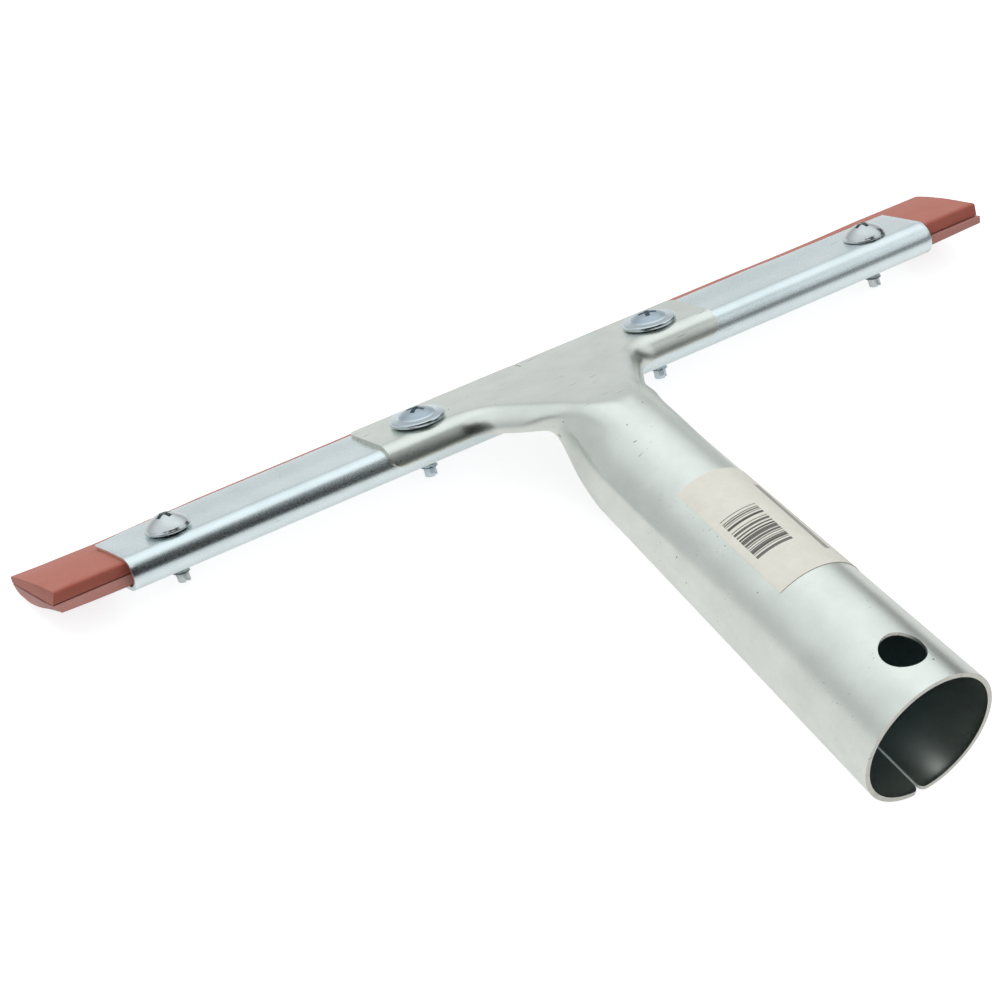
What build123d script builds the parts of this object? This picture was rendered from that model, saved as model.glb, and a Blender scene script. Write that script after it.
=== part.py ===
"""Window squeegee head: a pressed steel tee with a rolled handle socket, a folded steel
channel that holds two strips of rubber, four screws that clamp them, and a paper label.

Everything is drawn in the plate's frame: X runs along the blade, +Y points to the working
lip, Z is normal to the flat plate, the channel's top face is z = 0 and its round nose starts
at y = 0. At the end all of it is turned to the way it lies on a table, on the socket's
mouth and on the lip. Lengths are millimetres.
"""

import os
from math import atan2, cos, degrees, radians, sin, tan

from build123d import *

# Sheet metal
bracket_sheet = 0.80
channel_sheet = 0.90

# Blade channel, a U folded round a half-round nose
channel_length = 203.2
channel_height = 7.2
channel_far = 13.3

# Rubber strips
strip_overhang = 15.6
strip_shift = 0.6
lip_reach = 20.8
lip_drop = 1.2
upper_strip_thick = 2.8
upper_strip_back = 1.6
upper_strip_corner = 2.0
lower_strip_thick = 2.1
lower_strip_back = 0.8
strip_gap = 0.25

# Pressed tee, whose rear edge rolls down over the channel's nose
arm_span = 83.4
plate_far = 13.7
plate_corner = 1.6
nose_clearance = 0.05
flange_drop = 4.1
flange_corner = 2.6
tongue_half = 17.9
tongue_tip_half = 3.18
tongue_reach = 24.5
tongue_tip_round = 2.4
neck_fillet = 12.0
shoulder_roll = 5.1

# Tapered handle socket, placed by the front end of its axis, under the tongue
socket_tilt = 25.32
socket_taper = 1.78
socket_front_radius = 11.515
socket_front_back = 7.644
socket_front_below = 2.691
socket_length = 116.0
seam_gap = 0.4
seam_corner = 1.6
front_edge_reach = 18.3
front_edge_angle = 67.0
front_edge_round = 4.0
retaining_hole = 9.2
retaining_hole_inset = 10.2

# Screws, number 8
screw_row = 4.3
inner_screw_inset = 12.0
outer_screw_inset = 12.45
shank_diameter = 4.1
thread_end = 2.5
stub_diameter = 2.9
stub_length = 1.6
notch_width = 1.2
notch_depth = 0.9
notch_turn = -60.0
plate_hole = 4.8
thread_clearance = 0.06
truss_diameter = 9.6
truss_rim = 0.70
truss_height = 3.4
truss_crown_share = 0.62
truss_edge_slope = -1.2
brim_diameter = 11.5
brim_rim = 0.85
brim_rise = 0.35
brim_dome = 7.2
brim_height = 2.8
brim_edge_slope = -1.1
recess_span = 4.6
recess_slot = 1.15
recess_depth = 1.7

# Paper label on the socket
label_start = 36.5
label_length = 33.6
label_from_angle = -33.5
label_to_angle = 96.0
label_thick = 0.12
label_glue = 0.02

# How far a cutting tool runs past what it cuts, and how near an edge counts as found
overrun = 5.0
near = 0.05

nose_radius = channel_height / 2
roll_inner = nose_radius + nose_clearance
roll_outer = roll_inner + bracket_sheet
arm_half = arm_span / 2
channel_half = channel_length / 2
strip_length = channel_length + 2 * strip_overhang
inner_screw_x = arm_half - inner_screw_inset
outer_screw_x = channel_half - outer_screw_inset
under_channel = -channel_height
upper_strip_top = -channel_sheet
lower_strip_top = upper_strip_top - upper_strip_thick - strip_gap
lower_strip_bottom = lower_strip_top - lower_strip_thick

slope = radians(socket_tilt)
taper = tan(radians(socket_taper))
socket_in = Vector(0, cos(slope), sin(slope))
socket_up = Vector(0, -sin(slope), cos(slope))
socket_mouth_radius = socket_front_radius + taper * socket_length
socket_front = Vector(0, -socket_front_back, -socket_front_below)
mouth_centre = socket_front - socket_in * socket_length
mouth_plane = Plane(origin=mouth_centre, x_dir=(1, 0, 0), z_dir=socket_in)
side_plane = Plane(origin=(0, 0, 0), x_dir=(0, 1, 0), z_dir=(1, 0, 0))


def along_x(face, length, middle=0):
    """Extrude a profile of the side plane both ways along X, about x = middle."""
    return Pos(middle, 0, 0) * extrude(face, amount=length / 2, both=True)


def block(x, y, z):
    """A box given by its two limits along each axis."""
    middle = ((x[0] + x[1]) / 2, (y[0] + y[1]) / 2, (z[0] + z[1]) / 2)
    return Pos(*middle) * Box(x[1] - x[0], y[1] - y[0], z[1] - z[0])


def post(x, y, low, high, diameter):
    """An upright round post or drill between two heights."""
    return Pos(x, y, (low + high) / 2) * Cylinder(diameter / 2, high - low)


def channel_profile(inset):
    """Side view of the channel's outside, or of its hollow when inset by the sheet."""
    radius = nose_radius - inset
    far = channel_far + (overrun if inset else 0)
    flat = Pos(far / 2, -nose_radius) * Rectangle(far, 2 * radius)
    return side_plane * (flat + Pos(0, -nose_radius) * Circle(radius))


def blade_channel():
    shell = along_x(channel_profile(0), channel_length)
    shell -= along_x(channel_profile(channel_sheet), channel_length + overrun)
    for x in screw_places():
        shell -= post(x, screw_row, -channel_height / 2, overrun, plate_hole)
        shell -= post(x, screw_row, under_channel - overrun, -channel_height / 2,
                      shank_diameter + 2 * thread_clearance)
    return shell


def rubber_strip(top, thick, back, corner, drop, middle):
    """One strip: its edge inside the nose rounded at the top, its lip thinned from above."""
    face = Polygon((-back, top - thick), (lip_reach, top - thick), (lip_reach, top - drop),
                   (channel_far, top), (-back, top), align=None)
    if corner:
        edge = face.vertices().filter_by(lambda v: v.X < 0 and v.Y > top - thick / 2)
        face = fillet(edge, corner)
    strip = along_x(side_plane * face, strip_length, middle)
    for x in screw_places():
        strip -= post(x, screw_row, top - thick - overrun, top + overrun, plate_hole)
    return strip


def tongue_outline(front):
    """Plan of the tongue that tapers from the arms down to the socket."""
    splay = (tongue_half - tongue_tip_half) / tongue_reach
    front_half = tongue_half + front * splay
    tongue = Polygon((-front_half, front), (-tongue_tip_half, -tongue_reach),
                     (tongue_tip_half, -tongue_reach), (front_half, front), align=None)
    tips = tongue.vertices().filter_by(lambda v: v.Y < near - tongue_reach)
    return fillet(tips, tongue_tip_round)


def flat_outline():
    """Plan of the tee's flat top: two arms and the tongue."""
    far = plate_far + overrun
    arms = Pos(0, far / 2) * Rectangle(arm_span + 2 * overrun, far)
    flat = arms + tongue_outline(far / 2)
    corners = flat.vertices().filter_by(lambda v: abs(abs(v.X) - tongue_half) < near
                                        and abs(v.Y) < near)
    return fillet(corners, neck_fillet)


def rolled(flat, window, roll, top, bottom):
    """A block under a flat outline, its top edges rolled over inside the window's limits."""
    plan = offset(flat, amount=roll, kind=Kind.ARC)
    width, front = window
    depth = front + tongue_reach + 2 * roll + overrun
    plan &= Pos(0, front - depth / 2) * Rectangle(width, depth)
    solid = Pos(0, 0, bottom) * extrude(plan, amount=top - bottom)
    rear = solid.edges().filter_by(lambda e: e.center().Z > top - near
                                   and e.center().Y < min(front, 0) - near
                                   and abs(e.center().X) < width / 2 - near)
    return fillet(rear, roll)


def shoulder(inset):
    """The wider roll of the tongue's sides, where the tee turns into the socket."""
    roll = shoulder_roll - inset
    deep = 2 * shoulder_roll
    wide = rolled(tongue_outline(overrun), (2 * arm_span, -inset), roll, bracket_sheet - inset, -deep)
    return wide - front_cut()


def socket_cone(inset, lead):
    """The tapered socket as a solid, from its mouth to under the tongue."""
    back = mouth_centre - socket_in * lead
    plane = Plane(origin=back, x_dir=(1, 0, 0), z_dir=socket_in)
    wide = socket_mouth_radius - inset + taper * lead
    narrow = wide - taper * (socket_length + lead)
    return plane * Cone(wide, narrow, socket_length + lead,
                        align=(Align.CENTER, Align.CENTER, Align.MIN))


def front_cut():
    """Takes off the socket's lower front, so its sheet's edge sweeps down from the flange."""
    drop = 2 * socket_length
    lean = drop / tan(radians(front_edge_angle))
    face = Polygon((-front_edge_reach, -flange_drop), (-front_edge_reach - lean, -flange_drop - drop),
                   (arm_half, -flange_drop - drop), (arm_half, -flange_drop), align=None)
    corner = face.vertices().sort_by(Axis.X)[1]
    face = fillet(corner, front_edge_round)
    return along_x(side_plane * face, 4 * socket_mouth_radius)


def open_seam():
    """The slot under the socket, wider at the mouth where the sheet's corners are rounded."""
    slot = block((-seam_gap / 2, seam_gap / 2), (0, 2 * socket_mouth_radius),
                 (-overrun, socket_length + overrun))
    notch = Pos(0, seam_corner / 2) * Rectangle(seam_gap + 2 * seam_corner, seam_corner)
    for side in (-1, 1):
        notch -= Pos(side * (seam_gap / 2 + seam_corner), seam_corner) * Circle(seam_corner)
    return slot + extrude(Plane.XZ * notch, amount=-2 * socket_mouth_radius)


def handle_socket_bracket():
    reach = socket_length + arm_span
    high = (-reach, reach)
    outer_cone = socket_cone(0, 0) - block(high, high, (bracket_sheet, reach)) - front_cut()
    inner_cone = socket_cone(bracket_sheet, overrun) - block(high, high, (0, reach))
    outer = rolled(flat_outline(), (arm_span, plate_far), roll_outer, bracket_sheet, -flange_drop)
    for corner in (-1, 1):
        low = outer.edges().filter_by(
            lambda e: e.center().Z < near - flange_drop
            and abs(e.center().X - corner * arm_half) < near)
        outer = fillet(low, flange_corner)
    far = outer.edges().filter_by(Axis.Z).filter_by(
        lambda e: e.center().Y > plate_far - near)
    outer = fillet(far, plate_corner) + outer_cone + shoulder(0)
    inner = rolled(flat_outline(), (arm_span + 2 * overrun, plate_far + overrun), roll_inner,
                   0, -flange_drop - overrun)
    shell = outer - inner - inner_cone - shoulder(bracket_sheet)
    shell -= mouth_plane * open_seam()
    hole_foot = mouth_centre + socket_in * retaining_hole_inset
    drill = Plane(origin=hole_foot, x_dir=(1, 0, 0), z_dir=socket_up)
    shell -= drill * Cylinder(retaining_hole / 2, 2 * socket_mouth_radius,
                              align=(Align.CENTER, Align.CENTER, Align.MIN))
    for side in (-1, 1):
        shell -= post(side * inner_screw_x, screw_row, -nose_radius, overrun, plate_hole)
    return shell


def truss_profile():
    """Half section of a tall truss head, from its axis out to the rim."""
    rim = truss_diameter / 2
    crown = Spline((rim, truss_rim), (rim / 2, (truss_rim + truss_height) * truss_crown_share),
                   (0, truss_height), tangents=((-1, -truss_edge_slope), (-1, 0)))
    foot = Polyline((0, truss_height), (0, 0), (rim, 0), (rim, truss_rim))
    return make_face(crown + foot)


def brim_profile():
    """Half section of a low head with a wide brim."""
    rim = brim_diameter / 2
    dome = brim_dome / 2
    brim = Line((rim, brim_rim), (dome, brim_rim + brim_rise))
    crown = Spline((dome, brim_rim + brim_rise), (dome / 2, brim_height - brim_rise),
                   (0, brim_height), tangents=((-1, -brim_edge_slope), (-1, 0)))
    foot = Polyline((0, brim_height), (0, 0), (rim, 0), (rim, brim_rim))
    return make_face(brim + crown + foot)


def screw(x, seat, profile, height):
    """A cross-recessed screw: head on its seat, shank through the strips, notched stub."""
    upright = Plane(origin=(0, 0, 0), x_dir=(1, 0, 0), z_dir=(0, -1, 0))
    head = Pos(0, 0, seat) * revolve(upright * profile, Axis.Z)
    shank_end = under_channel - thread_end
    body = head + post(0, 0, shank_end, seat, shank_diameter)
    body += post(0, 0, shank_end - stub_length, shank_end, stub_diameter)
    floor = seat + height - recess_depth
    for turn in (0, 90):
        slot = block((-recess_span / 2, recess_span / 2), (-recess_slot / 2, recess_slot / 2),
                     (floor, seat + height + overrun))
        body -= Rot(Z=turn) * slot
    notch = block((0, stub_diameter), (-notch_width / 2, notch_width / 2),
                  (shank_end - stub_length - overrun, shank_end - stub_length + notch_depth))
    body -= Rot(Z=notch_turn) * notch
    return Pos(x, screw_row, 0) * body


def paper_label():
    """A thin patch wrapped round the top and right of the socket."""
    ends = (label_start, label_start + label_length)
    inside = [socket_mouth_radius - taper * along + label_glue for along in ends]
    face = Polygon((inside[0], ends[0]), (inside[1], ends[1]), (inside[1] + label_thick, ends[1]),
                   (inside[0] + label_thick, ends[0]), align=None)
    sweep = label_to_angle - label_from_angle
    patch = revolve(Plane.XZ * face, Axis.Z, revolution_arc=sweep)
    return mouth_plane * (Rot(Z=label_from_angle - 90) * patch)


def screw_places():
    return [side * x for x in (inner_screw_x, outer_screw_x) for side in (-1, 1)]


def lay_down(shapes):
    """Turn the parts to lie on the socket's mouth and the lip, centred over the origin."""
    mouth_foot = mouth_centre - socket_up * socket_mouth_radius
    tilt = degrees(atan2(lower_strip_bottom - mouth_foot.Z, lip_reach - mouth_foot.Y))
    turned = {name: Rot(X=-tilt) * shape for name, shape in shapes.items()}
    boxes = [shape.bounding_box() for shape in turned.values()]
    middle_x = (min(box.min.X for box in boxes) + max(box.max.X for box in boxes)) / 2
    middle_y = (min(box.min.Y for box in boxes) + max(box.max.Y for box in boxes)) / 2
    lift = Pos(-middle_x, -middle_y, -min(box.min.Z for box in boxes))
    return {name: lift * shape for name, shape in turned.items()}


nodes = {
    "handle_socket_bracket": handle_socket_bracket(),
    "blade_channel": blade_channel(),
    "upper_rubber_strip": rubber_strip(upper_strip_top, upper_strip_thick, upper_strip_back,
                                       upper_strip_corner, lip_drop, -strip_shift),
    "lower_rubber_strip": rubber_strip(lower_strip_top, lower_strip_thick, lower_strip_back,
                                       0, 0, strip_shift),
    "paper_label": paper_label(),
}
for side, name in ((-1, "left"), (1, "right")):
    nodes["inner_screw_" + name] = screw(side * inner_screw_x, bracket_sheet,
                                         brim_profile(), brim_height)
    nodes["outer_screw_" + name] = screw(side * outer_screw_x, 0,
                                         truss_profile(), truss_height)

os.makedirs("parts", exist_ok=True)
for name, shape in lay_down(nodes).items():
    export_step(shape, "parts/" + name + ".step")
    print(name, len(shape.solids()), "solid", round(shape.volume, 1), "mm3")
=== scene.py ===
"""A steel window squeegee head, dressed for its photograph.

Each piece is drawn in the plate's frame, in millimetres: X runs along the blade, +Y points to
the rubber's lip, Z is normal to the flat plate, and the channel's top is z = 0. The matrix
called lay then puts it on the table, in metres, where the CAD has it.
"""

from math import atan, atan2, cos, degrees, pi, radians, sin, sqrt, tan

import bmesh
import bpy
import numpy as np
from mathutils import Matrix, Vector


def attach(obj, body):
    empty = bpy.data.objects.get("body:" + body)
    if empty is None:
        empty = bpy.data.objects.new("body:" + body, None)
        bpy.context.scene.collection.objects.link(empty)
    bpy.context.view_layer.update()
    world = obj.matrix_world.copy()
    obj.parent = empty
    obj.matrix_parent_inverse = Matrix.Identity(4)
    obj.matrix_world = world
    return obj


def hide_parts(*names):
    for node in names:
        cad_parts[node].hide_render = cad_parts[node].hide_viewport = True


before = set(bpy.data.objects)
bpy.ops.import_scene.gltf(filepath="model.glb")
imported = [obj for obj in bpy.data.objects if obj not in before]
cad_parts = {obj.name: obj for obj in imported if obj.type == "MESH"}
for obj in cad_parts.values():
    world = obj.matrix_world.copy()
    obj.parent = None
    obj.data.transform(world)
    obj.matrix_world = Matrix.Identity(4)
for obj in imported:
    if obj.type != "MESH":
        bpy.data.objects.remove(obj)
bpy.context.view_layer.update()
scene = bpy.context.scene

# How the head lies on the table, as in the CAD: its tilt in degrees and its shift in millimetres
MM = 0.001
rest_tilt = -25.286527
rest_shift = (0, 53.080, 14.355)
lay = (Matrix.Translation([length * MM for length in rest_shift])
       @ Matrix.Rotation(radians(rest_tilt), 4, "X") @ Matrix.Scale(MM, 4))

# Lengths of the real pieces, in millimetres, as in the CAD
channel_half = 101.6
channel_height = 7.2
channel_far = 13.3
channel_sheet = 0.90
bracket_sheet = 0.80
strip_half = 117.2
strip_shift = 0.6
strip_rear = -0.8
lip_reach = 20.8
upper_top = -0.92
upper_lip_top = -2.1
upper_low = -3.7
lower_top = -3.95
lower_low = -6.04
screw_row = 4.3

# The tapered socket: where its mouth is, how it leans and how it narrows, in degrees
mouth = np.array((0, -112.5, -52.3))
mouth_radius = 15.12
socket_lean = 25.32
socket_narrowing = 1.78
socket_in = np.array((0, cos(radians(socket_lean)), sin(radians(socket_lean))))
socket_up = np.array((0, -sin(radians(socket_lean)), cos(radians(socket_lean))))
taper = tan(radians(socket_narrowing))
across = np.array((1, 0, 0))
mirrored = np.array((-1, 1, 1))


# Camera

camera_lens = 108.9144
camera_place = (-289.390, -340.005, 423.238)
camera_turns = (47.6963, -1.2867, -34.1078)

lens_data = bpy.data.cameras.new("photo_camera")
lens_data.sensor_width = 36
lens_data.lens = camera_lens
lens_data.clip_start = 0.01
lens_data.clip_end = 20
camera = bpy.data.objects.new("photo_camera", lens_data)
camera.location = Vector(camera_place) * MM
camera.rotation_euler = [radians(turn) for turn in camera_turns]
scene.collection.objects.link(camera)
scene.camera = camera
scene.view_settings.view_transform = "Standard"


# Materials

def linear(code):
    """The linear colour of an sRGB hex value."""
    parts = [int(code[i:i + 2], 16) / 255 for i in (1, 3, 5)]
    return [p / 12.92 if p <= 0.04045 else ((p + 0.055) / 1.055) ** 2.4 for p in parts] + [1]


def grey(value):
    """A linear grey."""
    return (value, value, value, 1)


def add(tree, kind, inputs=(), stops=(), **settings):
    """Add a node with its settings. Each input is a value or a socket to link from, by its name
    or in order, and stops are the (place, colour) pairs of a colour ramp."""
    new = tree.nodes.new(kind)
    for key, value in settings.items():
        setattr(new, key, value)
    for key, value in inputs.items() if isinstance(inputs, dict) else enumerate(inputs):
        if isinstance(value, bpy.types.NodeSocket):
            tree.links.new(value, new.inputs[key])
        else:
            new.inputs[key].default_value = value
    if stops:
        for stop, (place, colour) in zip(new.color_ramp.elements, stops):
            stop.position, stop.color = place, colour
        for place, colour in stops[2:]:
            new.color_ramp.elements.new(place).color = colour
    return new


def fresh_material(name):
    """A new material, its node tree, and the Principled shader that its output shows."""
    made = bpy.data.materials.new(name)
    made.use_nodes = True
    tree = made.node_tree
    tree.nodes.clear()
    shader = add(tree, "ShaderNodeBsdfPrincipled")
    add(tree, "ShaderNodeOutputMaterial", {"Surface": shader.outputs[0]})
    return made, tree, shader


def zinc_plate(name, bright, dull, thin, rough, wear, peel=0.06):
    """Electroplated bright zinc on steel: a cool, softly clouded mirror with a fine orange-peel
    grain, a few short scuffs and pinhead specks, the steel's own grey at cut edges, and a darker,
    duller painted shade in hollows."""
    made, tree, shader = fresh_material(name)
    place = add(tree, "ShaderNodeTexCoord").outputs["Object"]
    # clouds about 9 mm across
    cloud = add(tree, "ShaderNodeTexNoise", {"Vector": place, "Scale": 1 / (9 * MM), "Detail": 4,
                                             "Roughness": 0.6}).outputs["Fac"]
    # orange peel about 0.35 mm across, a little longer along the rolling
    drawn = add(tree, "ShaderNodeMapping", {"Vector": place, "Scale": (0.6, 1, 1)}).outputs[0]
    grain = add(tree, "ShaderNodeTexNoise", {"Vector": drawn, "Scale": 1 / (0.35 * MM), "Detail": 3,
                                             "Roughness": 0.65}).outputs["Fac"]
    # scuffs: thin slanting dashes about 3 mm long, only in patches about 14 mm across
    slant = add(tree, "ShaderNodeMapping", {"Vector": place, "Rotation": (0.3, 0.4, radians(34)),
                                            "Scale": (1 / 14, 1, 1)}).outputs[0]
    dash = add(tree, "ShaderNodeTexNoise", {"Vector": slant, "Scale": 1 / (0.42 * MM), "Detail": 1,
                                            "Roughness": 0.4}).outputs["Fac"]
    dash = add(tree, "ShaderNodeValToRGB", [dash], [(0.72, grey(0)), (0.80, grey(1))]).outputs[0]
    patch = add(tree, "ShaderNodeTexNoise", {"Vector": place, "Scale": 1 / (14 * MM),
                                             "Detail": 1}).outputs["Fac"]
    patch = add(tree, "ShaderNodeValToRGB", [patch], [(0.50, grey(0)), (0.66, grey(1))]).outputs[0]
    scuff = add(tree, "ShaderNodeMath", (dash, patch), operation="MULTIPLY").outputs[0]
    # specks 0.3 to 0.5 mm across, one in each 3.2 mm cell at most
    cells = add(tree, "ShaderNodeTexVoronoi", {"Vector": place, "Scale": 1 / (3.2 * MM),
                                               "Randomness": 1})
    dot = add(tree, "ShaderNodeValToRGB", [cells.outputs["Distance"]],
              [(0.045, grey(1)), (0.075, grey(0))]).outputs[0]
    chosen = add(tree, "ShaderNodeSeparateColor", [cells.outputs["Color"]]).outputs[0]
    chosen = add(tree, "ShaderNodeValToRGB", [chosen], [(0.74, grey(0)), (0.90, grey(1))]).outputs[0]
    speck = add(tree, "ShaderNodeMath", (dot, chosen), operation="MULTIPLY").outputs[0]
    marks = add(tree, "ShaderNodeMath", (scuff, speck), operation="MAXIMUM").outputs[0]
    marks = add(tree, "ShaderNodeMath", (marks, wear), operation="MULTIPLY").outputs[0]
    tone = add(tree, "ShaderNodeValToRGB", [cloud], [(0.30, linear(dull)), (0.68, linear(bright))]).outputs[0]
    # painted shade: deep in the socket and along the seam's long edges the tone is painted darker; cut edges are
    # the steel's own grey
    shaded = add(tree, "ShaderNodeAttribute", attribute_name="shaded").outputs["Fac"]
    tone = add(tree, "ShaderNodeMixRGB", (shaded, tone, linear("#a3b3b3"))).outputs[0]
    # the thin tone is the steel's own grey at cut edges and a painted shade in a screw's recess
    bare_and_shade = add(tree, "ShaderNodeAttribute", attribute_name="bare_and_shade").outputs["Fac"]
    tone = add(tree, "ShaderNodeMixRGB", (bare_and_shade, tone, linear(thin))).outputs[0]
    worn = add(tree, "ShaderNodeMixRGB", (marks, tone, linear("#5b6058"))).outputs[0]
    tree.links.new(worn, shader.inputs["Base Color"])
    # the grain varies the gloss a little, and marks, bare steel and the painted shade are duller
    gloss = add(tree, "ShaderNodeMapRange", {"Value": grain, "From Min": 0.25, "From Max": 0.75,
                                             "To Min": rough - 0.04, "To Max": rough + 0.05}).outputs[0]
    duller = add(tree, "ShaderNodeMath", (marks, bare_and_shade), operation="MAXIMUM").outputs[0]
    duller = add(tree, "ShaderNodeMath", (duller, shaded), operation="MAXIMUM").outputs[0]
    gloss = add(tree, "ShaderNodeMath", (duller, 0.20, gloss), operation="MULTIPLY_ADD").outputs[0]
    tree.links.new(gloss, shader.inputs["Roughness"])
    shader.inputs["Metallic"].default_value = 1
    height = add(tree, "ShaderNodeMath", (marks, -1.5, grain), operation="MULTIPLY_ADD").outputs[0]
    bump = add(tree, "ShaderNodeBump", {"Height": height, "Strength": peel, "Distance": 0.02 * MM})
    tree.links.new(bump.outputs[0], shader.inputs["Normal"])
    return made


def matt_rubber(name, dusty, bare_and_shade):
    """Moulded red-brown gum rubber: matt, with a pale dusty bloom on its faces, darker and redder
    at its rear edges, partly rubbed and partly painted shade, and a fine pitted grain."""
    made, tree, shader = fresh_material(name)
    place = add(tree, "ShaderNodeTexCoord").outputs["Object"]
    rubbed_and_shaded = add(tree, "ShaderNodeAttribute", attribute_name="rubbed_and_shaded").outputs["Fac"]
    # bloom: soft clouds about 7 mm across
    bloom = add(tree, "ShaderNodeTexNoise", {"Vector": place, "Scale": 1 / (7 * MM), "Detail": 5,
                                             "Roughness": 0.62}).outputs["Fac"]
    # pits 0.3 mm across
    pits = add(tree, "ShaderNodeTexNoise", {"Vector": place, "Scale": 1 / (0.3 * MM),
                                            "Detail": 2}).outputs["Fac"]
    # the rear edges take the darker tone: partly rubbed, partly painted shade where they turn from the light
    share = add(tree, "ShaderNodeMath", (bloom, 0.5, rubbed_and_shaded), operation="MULTIPLY_ADD").outputs[0]
    tone = add(tree, "ShaderNodeValToRGB", [share], [(0.16, linear(dusty)), (1.05, linear(bare_and_shade))]).outputs[0]
    fleck = add(tree, "ShaderNodeValToRGB", [pits], [(0.30, grey(0.80)), (0.46, grey(1))]).outputs[0]
    flecked = add(tree, "ShaderNodeMixRGB", (0.5, tone, fleck), blend_type="MULTIPLY").outputs[0]
    tree.links.new(flecked, shader.inputs["Base Color"])
    shader.inputs["Roughness"].default_value = 0.62
    shader.inputs["Specular IOR Level"].default_value = 0.35
    shader.inputs["Sheen Weight"].default_value = 0.12
    shader.inputs["Sheen Roughness"].default_value = 0.5
    bump = add(tree, "ShaderNodeBump", {"Height": pits, "Strength": 0.25, "Distance": 0.04 * MM})
    tree.links.new(bump.outputs[0], shader.inputs["Normal"])
    return made


# The label's print, in millimetres: each area is its reach along the label and its reach round it
bar_step = 0.2
bar_area = ((9.1, 21.5), (1.7, 10.3))
band_area = ((4.8, 27.6), (15.2, 16.9))


def label_paper():
    """Uncoated cream label stock with black-ink bars of no meaning and a plain grey band."""
    made, tree, shader = fresh_material("cream_label_paper")
    flat = add(tree, "ShaderNodeUVMap", uv_map="wrap").outputs[0]
    place = add(tree, "ShaderNodeTexCoord").outputs["Object"]
    along, around, _ = add(tree, "ShaderNodeSeparateXYZ", [flat]).outputs
    # bars run round the socket, in steps along it that are inked or bare at random
    step = add(tree, "ShaderNodeMath", (along, 1 / bar_step), operation="MULTIPLY").outputs[0]
    step = add(tree, "ShaderNodeMath", [step], operation="FLOOR").outputs[0]
    chance = add(tree, "ShaderNodeTexNoise", {"W": step, "Scale": 0.83, "Detail": 0},
                 noise_dimensions="1D").outputs["Fac"]
    bars = add(tree, "ShaderNodeMath", (chance, 0.47), operation="GREATER_THAN").outputs[0]
    tint = add(tree, "ShaderNodeTexWhiteNoise", {"W": step}, noise_dimensions="1D").outputs["Value"]
    tint = add(tree, "ShaderNodeMapRange", {"Value": tint, "To Min": 0.75, "To Max": 1.0}).outputs[0]
    ink = add(tree, "ShaderNodeMath", (bars, tint), operation="MULTIPLY").outputs[0]

    def within(area):
        """1 inside an area of the label and 0 outside it."""
        sides = []
        for reach, (low, high) in zip((along, around), area):
            over = add(tree, "ShaderNodeMath", (reach, low), operation="GREATER_THAN").outputs[0]
            under = add(tree, "ShaderNodeMath", (reach, high), operation="LESS_THAN").outputs[0]
            sides.append(add(tree, "ShaderNodeMath", (over, under), operation="MULTIPLY").outputs[0])
        return add(tree, "ShaderNodeMath", sides, operation="MULTIPLY").outputs[0]

    ink = add(tree, "ShaderNodeMath", (ink, within(bar_area)), operation="MULTIPLY").outputs[0]
    ink = add(tree, "ShaderNodeMath", (within(band_area), 0.55, ink), operation="MULTIPLY_ADD").outputs[0]
    fibre = add(tree, "ShaderNodeTexNoise", {"Vector": place, "Scale": 1 / (2.5 * MM), "Detail": 6,
                                             "Roughness": 0.7}).outputs["Fac"]
    stock = add(tree, "ShaderNodeValToRGB", [fibre],
                [(0.3, linear("#dcd6c9")), (0.7, linear("#e5dfd3"))]).outputs[0]
    printed = add(tree, "ShaderNodeMixRGB", (ink, stock, linear("#3a3836"))).outputs[0]
    tree.links.new(printed, shader.inputs["Base Color"])
    shader.inputs["Roughness"].default_value = 0.55
    shader.inputs["Specular IOR Level"].default_value = 0.35
    bump = add(tree, "ShaderNodeBump", {"Height": fibre, "Strength": 0.12, "Distance": 0.02 * MM})
    tree.links.new(bump.outputs[0], shader.inputs["Normal"])
    return made


bracket_zinc = zinc_plate("bracket_zinc_plated_sheet", "#e8ebe3", "#dde0d8", "#d8d6cd", 0.30, 1.0)
channel_zinc = zinc_plate("channel_bright_zinc", "#eaf3f4", "#dfe9ea", "#c6cccb", 0.28, 0.6, 0.035)
screw_zinc = zinc_plate("screw_bright_zinc", "#d3d7d7", "#c8cccd", "#8d9698", 0.20, 0.35)
screw_blue_zinc = zinc_plate("screw_blue_zinc", "#d6e0e4", "#cad6da", "#b3c0c8", 0.18, 0.35)
upper_rubber = matt_rubber("upper_strip_gum_rubber", "#b96c5a", "#9c4636")
lower_rubber = matt_rubber("lower_strip_gum_rubber", "#cf948a", "#ae6c5f")
cream_paper = label_paper()


# Meshes

def on_table(name, mesh, material, body, node):
    """Lay a mesh drawn in the plate's frame on the table, as a finished piece."""
    mesh.transform(lay)
    mesh.materials.clear()
    mesh.materials.append(material)
    piece = bpy.data.objects.new(name, mesh)
    scene.collection.objects.link(piece)
    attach(piece, body)
    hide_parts(node)


def smooth_mesh(made, name):
    """The mesh of a bmesh, with each face shaded smooth."""
    for face in made.faces:
        face.smooth = True
    mesh = bpy.data.meshes.new(name)
    made.to_mesh(mesh)
    made.free()
    return mesh


def from_modifiers(work):
    """The plain mesh that a work object's modifiers give. The object goes."""
    done = bpy.data.meshes.new_from_object(work.evaluated_get(bpy.context.evaluated_depsgraph_get()))
    work.modifiers.clear()
    bpy.data.objects.remove(work)
    return done


def ease(value, low, high):
    """From 0 at low to 1 at high, with soft ends."""
    share = np.clip((value - low) / (high - low), 0, 1)
    return share * share * (3 - 2 * share)


def settled(x, places):
    """A height read from (place, height) pairs, eased from each to the next."""
    for (here, low), (ahead, high) in zip(places, places[1:]):
        if x <= ahead:
            return low + (high - low) * ease(x, here, ahead)
    return places[-1][1]


# The rubber strips

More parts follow.
